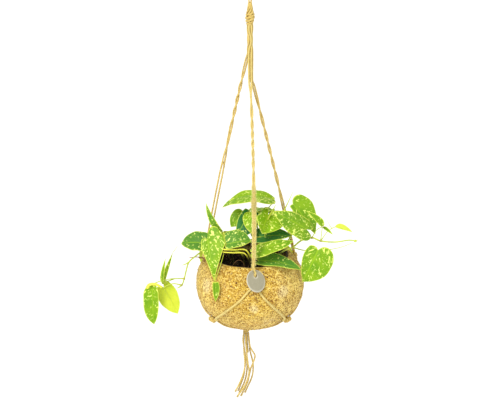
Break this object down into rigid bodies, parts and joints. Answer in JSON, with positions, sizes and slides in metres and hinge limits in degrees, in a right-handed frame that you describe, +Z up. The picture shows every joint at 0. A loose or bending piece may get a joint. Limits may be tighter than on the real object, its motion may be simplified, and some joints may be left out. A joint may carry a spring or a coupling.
{
  "type": "hanging kokedama ball plant",
  "caption": "Hanging ball pot of pressed coconut fibre with soil and trailing satin pothos vines, carried in a knotted jute twine net with a tassel and a bare round card tag",
  "frame": {"origin": "inside top of the hanging loop, where a hook carries it", "axes": "+Z up along the hanger; -Y towards the front, where the tag is; +X to the right"},
  "size_m": [0.2988, 0.1963, 0.633],
  "materials": {
    "coir": "matte",
    "soil": "matte",
    "twine": "matte",
    "leaf": "satin",
    "tag": "matte"
  },
  "bodies": {
    "root": {"coir_ball": "coir", "soil": "soil", "left_trailing_vine": "leaf", "left_crown": "leaf", "upper_arched_leaf": "leaf", "middle_crown": "leaf", "right_crown": "leaf", "right_trailing_vine": "leaf", "back_left_vine": "leaf", "back_right_vine": "leaf", "back_crown": "leaf", "hanging_loop": "twine", "top_knot": "twine", "leg_strand_front_1": "twine", "leg_strand_front_2": "twine", "upper_knot_front": "twine", "leg_strand_left_1": "twine", "leg_strand_left_2": "twine", "upper_knot_left": "twine", "leg_strand_right_1": "twine", "leg_strand_right_2": "twine", "upper_knot_right": "twine", "lower_knot_front_left": "twine", "net_strand_front_to_front_left": "twine", "under_strand_front_left_front": "twine", "net_strand_left_to_front_left": "twine", "under_strand_front_left_left": "twine", "lower_knot_front_right": "twine", "net_strand_front_to_front_right": "twine", "under_strand_front_right_front": "twine", "net_strand_right_to_front_right": "twine", "under_strand_front_right_right": "twine", "lower_knot_left_right": "twine", "net_strand_left_to_left_right": "twine", "under_strand_left_right_left": "twine", "net_strand_right_to_left_right": "twine", "under_strand_left_right_right": "twine", "bottom_knot": "twine", "tassel_strand_1": "twine", "tassel_strand_2": "twine", "tassel_strand_3": "twine", "tassel_strand_4": "twine", "tassel_strand_5": "twine", "tassel_strand_6": "twine", "tag": "tag"}
  },
  "joints": []
}
